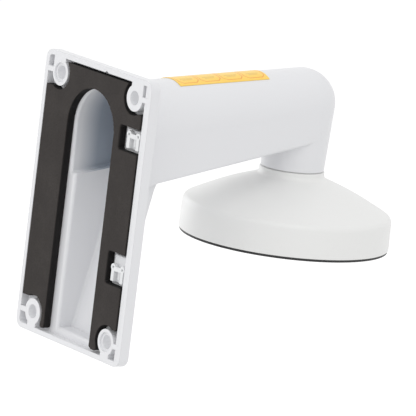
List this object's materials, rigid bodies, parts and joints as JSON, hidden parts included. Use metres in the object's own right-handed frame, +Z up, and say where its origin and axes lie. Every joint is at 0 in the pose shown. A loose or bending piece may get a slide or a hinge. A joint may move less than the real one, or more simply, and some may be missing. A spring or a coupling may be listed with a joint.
{
  "type": "camera wall bracket",
  "caption": "Hollow cast wall arm with a shallow tray plate and foam gasket at its root, and a round dished cap under its elbow for a dome camera.",
  "frame": {"origin": "middle of the wall plate, on the plane of the foam gasket's back face, which is the wall", "axes": "+Y into the wall, so the arm reaches out along -Y; +Z up; +X to the right for someone facing the wall"},
  "size_m": [0.1412, 0.2374, 0.1862],
  "materials": {
    "casting_paint": "satin",
    "cap_paint": "satin",
    "foam": "matte",
    "clip_plastic": "satin",
    "seal_rubber": "matte",
    "screw_steel": "plain",
    "sticker": "satin"
  },
  "bodies": {
    "root": {"arm_casting": "casting_paint", "wall_gasket": "foam", "edge_clip_upper": "clip_plastic", "edge_clip_lower": "clip_plastic", "adapter_cap": "cap_paint", "neck_seal": "seal_rubber", "camera_gasket": "seal_rubber", "cap_screws": "screw_steel", "top_sticker": "sticker"}
  },
  "joints": []
}
